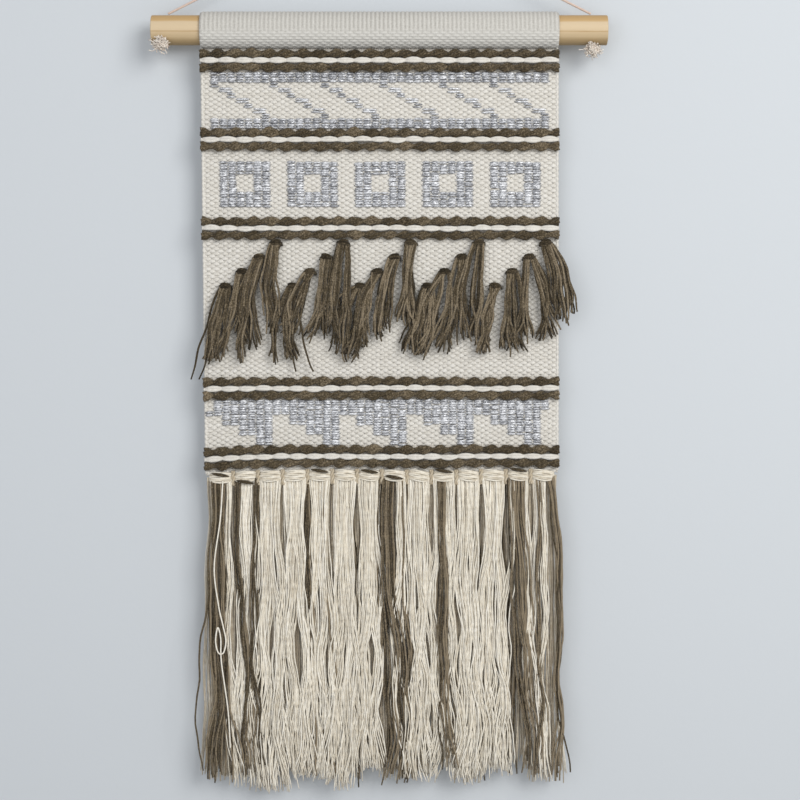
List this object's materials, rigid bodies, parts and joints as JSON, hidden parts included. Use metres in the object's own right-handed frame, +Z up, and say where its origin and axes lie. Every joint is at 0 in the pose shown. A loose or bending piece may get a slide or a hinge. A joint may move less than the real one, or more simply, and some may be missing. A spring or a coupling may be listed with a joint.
{
  "type": "tapestry wall hanging",
  "caption": "Woven wall hanging: a cloth sleeved on a wooden rod under a hanging cord, with thick wool rows, silver inlaid motifs, slanting wool tassels and a long knotted fringe.",
  "frame": {"origin": "the point of the nail that carries the cord, at the underside of the cord's top", "axes": "+Z up, +X along the rod to the viewer's right, -Y the front of the cloth and +Y the wall"},
  "size_m": [0.3834, 0.0318, 0.7521],
  "materials": {
    "twine": "twisted cotton twine, matt, slightly fluffy",
    "pine": "planed and unfinished, lengthwise grain",
    "cream_cotton": "woven cotton, matt",
    "fringe_cotton": "loose plied cotton yarn with some taupe wool, matt",
    "taupe_wool": "thick soft wool yarn, fuzzy",
    "silver_yarn": "metallic yarn, glittering"
  },
  "bodies": {
    "hanging_cord": {"hanging_cord": "twine"},
    "rod": {"rod": "pine", "left_stopper_knot": "twine", "right_stopper_knot": "twine"},
    "sleeve": {"rod_sleeve": "cream_cotton"},
    "cloth": {"woven_panel": "cream_cotton", "band_1_upper_yarn": "taupe_wool", "band_1_lower_yarn": "taupe_wool", "band_2_upper_yarn": "taupe_wool", "band_2_lower_yarn": "taupe_wool", "band_3_upper_yarn": "taupe_wool", "band_3_lower_yarn": "taupe_wool", "band_4_upper_yarn": "taupe_wool", "band_4_lower_yarn": "taupe_wool", "band_5_upper_yarn": "taupe_wool", "band_5_lower_yarn": "taupe_wool", "silver_lines": "silver_yarn", "silver_square_1": "silver_yarn", "silver_square_2": "silver_yarn", "silver_square_3": "silver_yarn", "silver_square_4": "silver_yarn", "silver_square_5": "silver_yarn", "silver_triangles": "silver_yarn"},
    "fringe_01": {"fringe_01": "fringe_cotton"},
    "fringe_02": {"fringe_02": "fringe_cotton"},
    "fringe_03": {"fringe_03": "fringe_cotton"},
    "fringe_04": {"fringe_04": "fringe_cotton"},
    "fringe_05": {"fringe_05": "fringe_cotton"},
    "fringe_06": {"fringe_06": "fringe_cotton"},
    "fringe_07": {"fringe_07": "fringe_cotton"},
    "fringe_08": {"fringe_08": "fringe_cotton"},
    "fringe_09": {"fringe_09": "fringe_cotton"},
    "fringe_10": {"fringe_10": "fringe_cotton"},
    "fringe_11": {"fringe_11": "fringe_cotton"},
    "fringe_12": {"fringe_12": "fringe_cotton"},
    "fringe_13": {"fringe_13": "fringe_cotton"},
    "fringe_14": {"fringe_14": "fringe_cotton"},
    "tassel_01": {"tassel_01": "taupe_wool"},
    "tassel_02": {"tassel_02": "taupe_wool"},
    "tassel_03": {"tassel_03": "taupe_wool"},
    "tassel_04": {"tassel_04": "taupe_wool"},
    "tassel_05": {"tassel_05": "taupe_wool"},
    "tassel_06": {"tassel_06": "taupe_wool"},
    "tassel_07": {"tassel_07": "taupe_wool"},
    "tassel_08": {"tassel_08": "taupe_wool"},
    "tassel_09": {"tassel_09": "taupe_wool"},
    "tassel_10": {"tassel_10": "taupe_wool"},
    "tassel_11": {"tassel_11": "taupe_wool"},
    "tassel_12": {"tassel_12": "taupe_wool"},
    "tassel_13": {"tassel_13": "taupe_wool"},
    "tassel_14": {"tassel_14": "taupe_wool"},
    "tassel_15": {"tassel_15": "taupe_wool"},
    "tassel_16": {"tassel_16": "taupe_wool"},
    "tassel_17": {"tassel_17": "taupe_wool"},
    "tassel_18": {"tassel_18": "taupe_wool"},
    "tassel_19": {"tassel_19": "taupe_wool"},
    "tassel_20": {"tassel_20": "taupe_wool"}
  },
  "joints": [
    {"name": "rod_swing", "type": "hinge", "parent": "hanging_cord", "child": "rod", "pos_m": [0, 0, -0.091], "axis": [-1, 0, 0], "range_deg": [0, 60]},
    {"name": "sleeve_slide", "type": "slide", "parent": "rod", "child": "sleeve", "axis": [1, 0, 0], "range_m": [-0.016, 0.016]},
    {"name": "cloth_turn", "type": "hinge", "parent": "sleeve", "child": "cloth", "pos_m": [0, 0, -0.1048], "axis": [-1, 0, 0], "range_deg": [0, 90]},
    {"name": "fringe_01_swing", "type": "hinge", "parent": "cloth", "child": "fringe_01", "pos_m": [-0.13743, 0, -0.4801], "axis": [-1, 0, 0], "range_deg": [0, 90]},
    {"name": "fringe_02_swing", "type": "hinge", "parent": "cloth", "child": "fringe_02", "pos_m": [-0.11629, 0, -0.4801], "axis": [-1, 0, 0], "range_deg": [0, 90]},
    {"name": "fringe_03_swing", "type": "hinge", "parent": "cloth", "child": "fringe_03", "pos_m": [-0.09514, 0, -0.4801], "axis": [-1, 0, 0], "range_deg": [0, 90]},
    {"name": "fringe_04_swing", "type": "hinge", "parent": "cloth", "child": "fringe_04", "pos_m": [-0.074, 0, -0.4801], "axis": [-1, 0, 0], "range_deg": [0, 90]},
    {"name": "fringe_05_swing", "type": "hinge", "parent": "cloth", "child": "fringe_05", "pos_m": [-0.05286, 0, -0.4801], "axis": [-1, 0, 0], "range_deg": [0, 90]},
    {"name": "fringe_06_swing", "type": "hinge", "parent": "cloth", "child": "fringe_06", "pos_m": [-0.03171, 0, -0.4801], "axis": [-1, 0, 0], "range_deg": [0, 90]},
    {"name": "fringe_07_swing", "type": "hinge", "parent": "cloth", "child": "fringe_07", "pos_m": [-0.01057, 0, -0.4801], "axis": [-1, 0, 0], "range_deg": [0, 90]},
    {"name": "fringe_08_swing", "type": "hinge", "parent": "cloth", "child": "fringe_08", "pos_m": [0.01057, 0, -0.4801], "axis": [-1, 0, 0], "range_deg": [0, 90]},
    {"name": "fringe_09_swing", "type": "hinge", "parent": "cloth", "child": "fringe_09", "pos_m": [0.03171, 0, -0.4801], "axis": [-1, 0, 0], "range_deg": [0, 90]},
    {"name": "fringe_10_swing", "type": "hinge", "parent": "cloth", "child": "fringe_10", "pos_m": [0.05286, 0, -0.4801], "axis": [-1, 0, 0], "range_deg": [0, 90]},
    {"name": "fringe_11_swing", "type": "hinge", "parent": "cloth", "child": "fringe_11", "pos_m": [0.074, 0, -0.4801], "axis": [-1, 0, 0], "range_deg": [0, 90]},
    {"name": "fringe_12_swing", "type": "hinge", "parent": "cloth", "child": "fringe_12", "pos_m": [0.09514, 0, -0.4801], "axis": [-1, 0, 0], "range_deg": [0, 90]},
    {"name": "fringe_13_swing", "type": "hinge", "parent": "cloth", "child": "fringe_13", "pos_m": [0.11629, 0, -0.4801], "axis": [-1, 0, 0], "range_deg": [0, 90]},
    {"name": "fringe_14_swing", "type": "hinge", "parent": "cloth", "child": "fringe_14", "pos_m": [0.13743, 0, -0.4801], "axis": [-1, 0, 0], "range_deg": [0, 90]},
    {"name": "tassel_01_lift", "type": "hinge", "parent": "cloth", "child": "tassel_01", "pos_m": [-0.13143, -0.005, -0.3215], "axis": [-1, 0, 0], "range_deg": [0, 90]},
    {"name": "tassel_02_lift", "type": "hinge", "parent": "cloth", "child": "tassel_02", "pos_m": [-0.11714, -0.005, -0.3093], "axis": [-1, 0, 0], "range_deg": [0, 90]},
    {"name": "tassel_03_lift", "type": "hinge", "parent": "cloth", "child": "tassel_03", "pos_m": [-0.10286, -0.005, -0.2971], "axis": [-1, 0, 0], "range_deg": [0, 90]},
    {"name": "tassel_04_lift", "type": "hinge", "parent": "cloth", "child": "tassel_04", "pos_m": [-0.08857, -0.005, -0.2849], "axis": [-1, 0, 0], "range_deg": [0, 90]},
    {"name": "tassel_05_lift", "type": "hinge", "parent": "cloth", "child": "tassel_05", "pos_m": [-0.07429, -0.005, -0.3215], "axis": [-1, 0, 0], "range_deg": [0, 90]},
    {"name": "tassel_06_lift", "type": "hinge", "parent": "cloth", "child": "tassel_06", "pos_m": [-0.06, -0.005, -0.3093], "axis": [-1, 0, 0], "range_deg": [0, 90]},
    {"name": "tassel_07_lift", "type": "hinge", "parent": "cloth", "child": "tassel_07", "pos_m": [-0.04571, -0.005, -0.2971], "axis": [-1, 0, 0], "range_deg": [0, 90]},
    {"name": "tassel_08_lift", "type": "hinge", "parent": "cloth", "child": "tassel_08", "pos_m": [-0.03143, -0.005, -0.2849], "axis": [-1, 0, 0], "range_deg": [0, 90]},
    {"name": "tassel_09_lift", "type": "hinge", "parent": "cloth", "child": "tassel_09", "pos_m": [-0.01714, -0.005, -0.3215], "axis": [-1, 0, 0], "range_deg": [0, 90]},
    {"name": "tassel_10_lift", "type": "hinge", "parent": "cloth", "child": "tassel_10", "pos_m": [-0.00286, -0.005, -0.3093], "axis": [-1, 0, 0], "range_deg": [0, 90]},
    {"name": "tassel_11_lift", "type": "hinge", "parent": "cloth", "child": "tassel_11", "pos_m": [0.01143, -0.005, -0.2971], "axis": [-1, 0, 0], "range_deg": [0, 90]},
    {"name": "tassel_12_lift", "type": "hinge", "parent": "cloth", "child": "tassel_12", "pos_m": [0.02571, -0.005, -0.2849], "axis": [-1, 0, 0], "range_deg": [0, 90]},
    {"name": "tassel_13_lift", "type": "hinge", "parent": "cloth", "child": "tassel_13", "pos_m": [0.04, -0.005, -0.3215], "axis": [-1, 0, 0], "range_deg": [0, 90]},
    {"name": "tassel_14_lift", "type": "hinge", "parent": "cloth", "child": "tassel_14", "pos_m": [0.05429, -0.005, -0.3093], "axis": [-1, 0, 0], "range_deg": [0, 90]},
    {"name": "tassel_15_lift", "type": "hinge", "parent": "cloth", "child": "tassel_15", "pos_m": [0.06857, -0.005, -0.2971], "axis": [-1, 0, 0], "range_deg": [0, 90]},
    {"name": "tassel_16_lift", "type": "hinge", "parent": "cloth", "child": "tassel_16", "pos_m": [0.08286, -0.005, -0.2849], "axis": [-1, 0, 0], "range_deg": [0, 90]},
    {"name": "tassel_17_lift", "type": "hinge", "parent": "cloth", "child": "tassel_17", "pos_m": [0.09714, -0.005, -0.3215], "axis": [-1, 0, 0], "range_deg": [0, 90]},
    {"name": "tassel_18_lift", "type": "hinge", "parent": "cloth", "child": "tassel_18", "pos_m": [0.11143, -0.005, -0.3093], "axis": [-1, 0, 0], "range_deg": [0, 90]},
    {"name": "tassel_19_lift", "type": "hinge", "parent": "cloth", "child": "tassel_19", "pos_m": [0.12571, -0.005, -0.2971], "axis": [-1, 0, 0], "range_deg": [0, 90]},
    {"name": "tassel_20_lift", "type": "hinge", "parent": "cloth", "child": "tassel_20", "pos_m": [0.14, -0.005, -0.2849], "axis": [-1, 0, 0], "range_deg": [0, 90]}
  ]
}
